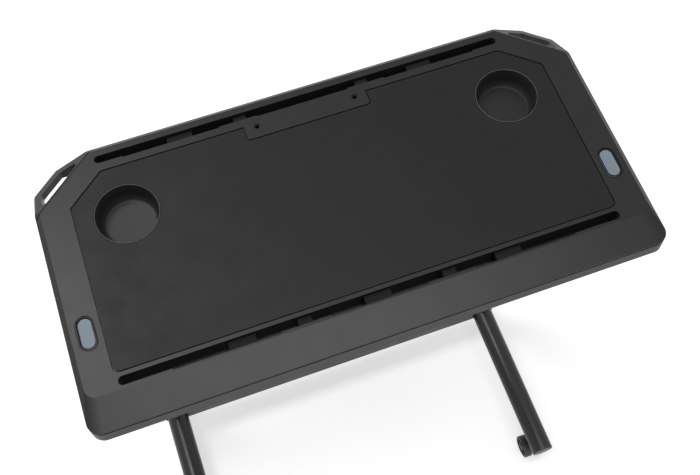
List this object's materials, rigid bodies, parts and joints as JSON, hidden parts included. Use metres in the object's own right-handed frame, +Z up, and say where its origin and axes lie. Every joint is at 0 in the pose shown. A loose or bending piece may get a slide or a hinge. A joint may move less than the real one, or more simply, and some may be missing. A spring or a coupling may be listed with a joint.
{
  "type": "bike trainer desk",
  "caption": "Height-adjustable desk for an indoor bike trainer, with mat, cup wells, device slots, release buttons and locking casters.",
  "frame": {"origin": "on the floor under the middle of the base", "axes": "+Z up, +Y away from the rider, +X to the rider's right"},
  "size_m": [0.8, 0.52, 1.075],
  "materials": {
    "deck_shell": "matte",
    "deck_tray": "matte",
    "mat": "matte",
    "dark_screw": "satin",
    "insert_metal": "satin",
    "zinc": "satin",
    "cap_plastic": "matte",
    "black_paint": "satin",
    "leg_gloss": "gloss",
    "cup_plastic": "matte",
    "button_plastic": "matte",
    "rod_chrome": "polished",
    "bush_plastic": "matte",
    "caster_plastic": "matte",
    "wheel_plastic": "matte"
  },
  "bodies": {
    "base": {"cross_beam": "black_paint", "beam_bolts": "zinc", "caster_sockets": "cap_plastic", "leg_caps": "cap_plastic", "spring_foot_pins": "zinc", "leg_left": "leg_gloss", "leg_right": "leg_gloss", "column_outer_left": "black_paint", "column_outer_right": "black_paint", "column_collar_left": "cap_plastic", "column_collar_right": "cap_plastic", "gas_cylinder_left": "black_paint", "gas_cylinder_right": "black_paint"},
    "desk": {"top_shell": "deck_shell", "lower_tray": "deck_tray", "desk_mat": "mat", "shell_screws": "dark_screw", "accessory_inserts": "insert_metal", "screw_spacers": "cap_plastic", "head_screws": "dark_screw", "corner_handle_left": "deck_shell", "cup_left": "cup_plastic", "button_spring_left": "zinc", "lever_bracket_left": "zinc", "lever_pin_left": "zinc", "head_plate_left": "black_paint", "column_inner_left": "black_paint", "slide_bush_left": "bush_plastic", "gas_rod_left": "rod_chrome", "corner_handle_right": "deck_shell", "cup_right": "cup_plastic", "button_spring_right": "zinc", "lever_bracket_right": "zinc", "lever_pin_right": "zinc", "head_plate_right": "black_paint", "column_inner_right": "black_paint", "slide_bush_right": "bush_plastic", "gas_rod_right": "rod_chrome"},
    "button_left": {"button_left": "button_plastic"},
    "release_lever_left": {"release_lever_left": "zinc"},
    "release_pin_left": {"release_pin_left": "rod_chrome"},
    "button_right": {"button_right": "button_plastic"},
    "release_lever_right": {"release_lever_right": "zinc"},
    "release_pin_right": {"release_pin_right": "rod_chrome"},
    "near_left_caster": {"near_left_caster_body": "caster_plastic", "near_left_caster_axle": "zinc"},
    "near_left_wheels": {"near_left_caster_wheels": "wheel_plastic"},
    "near_left_brake": {"near_left_brake_lever": "caster_plastic"},
    "near_right_caster": {"near_right_caster_body": "caster_plastic", "near_right_caster_axle": "zinc"},
    "near_right_wheels": {"near_right_caster_wheels": "wheel_plastic"},
    "near_right_brake": {"near_right_brake_lever": "caster_plastic"},
    "far_left_caster": {"far_left_caster_body": "caster_plastic", "far_left_caster_axle": "zinc"},
    "far_left_wheels": {"far_left_caster_wheels": "wheel_plastic"},
    "far_left_brake": {"far_left_brake_lever": "caster_plastic"},
    "far_right_caster": {"far_right_caster_body": "caster_plastic", "far_right_caster_axle": "zinc"},
    "far_right_wheels": {"far_right_caster_wheels": "wheel_plastic"},
    "far_right_brake": {"far_right_brake_lever": "caster_plastic"}
  },
  "joints": [
    {"name": "desk_height", "type": "slide", "parent": "base", "child": "desk", "axis": [0, 0, 1], "range_m": [-0.235, 0.145]},
    {"name": "button_press_left", "type": "slide", "parent": "desk", "child": "button_left", "axis": [0, 0, -1], "range_m": [0, 0.005], "stiffness_N_per_m": 600, "springref_m": -0.002, "deforming": ["button_spring_left"]},
    {"name": "lever_turn_left", "type": "hinge", "parent": "desk", "child": "release_lever_left", "pos_m": [-0.37185, 0.1275, 1.0507], "axis": [1, 0, 0], "range_deg": [0, 1.55]},
    {"name": "pin_push_left", "type": "slide", "parent": "desk", "child": "release_pin_left", "axis": [0, 0, -1], "range_m": [0, 0.00056]},
    {"name": "button_press_right", "type": "slide", "parent": "desk", "child": "button_right", "axis": [0, 0, -1], "range_m": [0, 0.005], "stiffness_N_per_m": 600, "springref_m": -0.002, "deforming": ["button_spring_right"]},
    {"name": "lever_turn_right", "type": "hinge", "parent": "desk", "child": "release_lever_right", "pos_m": [0.37185, 0.1275, 1.0507], "axis": [1, 0, 0], "range_deg": [0, 1.55]},
    {"name": "pin_push_right", "type": "slide", "parent": "desk", "child": "release_pin_right", "axis": [0, 0, -1], "range_m": [0, 0.00056]},
    {"name": "near_left_swivel", "type": "hinge", "parent": "base", "child": "near_left_caster", "pos_m": [-0.373, -0.207, 0.07], "axis": [0, 0, 1], "continuous": true},
    {"name": "near_left_roll", "type": "hinge", "parent": "near_left_caster", "child": "near_left_wheels", "pos_m": [-0.373, -0.225, 0.025], "axis": [1, 0, 0], "continuous": true},
    {"name": "near_left_brake_press", "type": "hinge", "parent": "near_left_caster", "child": "near_left_brake", "pos_m": [-0.37, -0.225, 0.0565], "axis": [0, 1, 0], "range_deg": [0, 10]},
    {"name": "near_right_swivel", "type": "hinge", "parent": "base", "child": "near_right_caster", "pos_m": [0.373, -0.207, 0.07], "axis": [0, 0, 1], "continuous": true},
    {"name": "near_right_roll", "type": "hinge", "parent": "near_right_caster", "child": "near_right_wheels", "pos_m": [0.373, -0.225, 0.025], "axis": [1, 0, 0], "continuous": true},
    {"name": "near_right_brake_press", "type": "hinge", "parent": "near_right_caster", "child": "near_right_brake", "pos_m": [0.37, -0.225, 0.0565], "axis": [0, -1, 0], "range_deg": [0, 10]},
    {"name": "far_left_swivel", "type": "hinge", "parent": "base", "child": "far_left_caster", "pos_m": [-0.373, 0.207, 0.07], "axis": [0, 0, 1], "continuous": true},
    {"name": "far_left_roll", "type": "hinge", "parent": "far_left_caster", "child": "far_left_wheels", "pos_m": [-0.373, 0.225, 0.025], "axis": [1, 0, 0], "continuous": true},
    {"name": "far_left_brake_press", "type": "hinge", "parent": "far_left_caster", "child": "far_left_brake", "pos_m": [-0.37, 0.225, 0.0565], "axis": [0, 1, 0], "range_deg": [0, 10]},
    {"name": "far_right_swivel", "type": "hinge", "parent": "base", "child": "far_right_caster", "pos_m": [0.373, 0.207, 0.07], "axis": [0, 0, 1], "continuous": true},
    {"name": "far_right_roll", "type": "hinge", "parent": "far_right_caster", "child": "far_right_wheels", "pos_m": [0.373, 0.225, 0.025], "axis": [1, 0, 0], "continuous": true},
    {"name": "far_right_brake_press", "type": "hinge", "parent": "far_right_caster", "child": "far_right_brake", "pos_m": [0.37, 0.225, 0.0565], "axis": [0, -1, 0], "range_deg": [0, 10]}
  ],
  "couplings": [
    {"joint": "lever_turn_left", "follows": "button_press_left", "rad_per_m": 5.3533},
    {"joint": "pin_push_left", "follows": "button_press_left", "ratio": 0.10974},
    {"joint": "lever_turn_right", "follows": "button_press_right", "rad_per_m": 5.3533},
    {"joint": "pin_push_right", "follows": "button_press_right", "ratio": 0.10974}
  ]
}
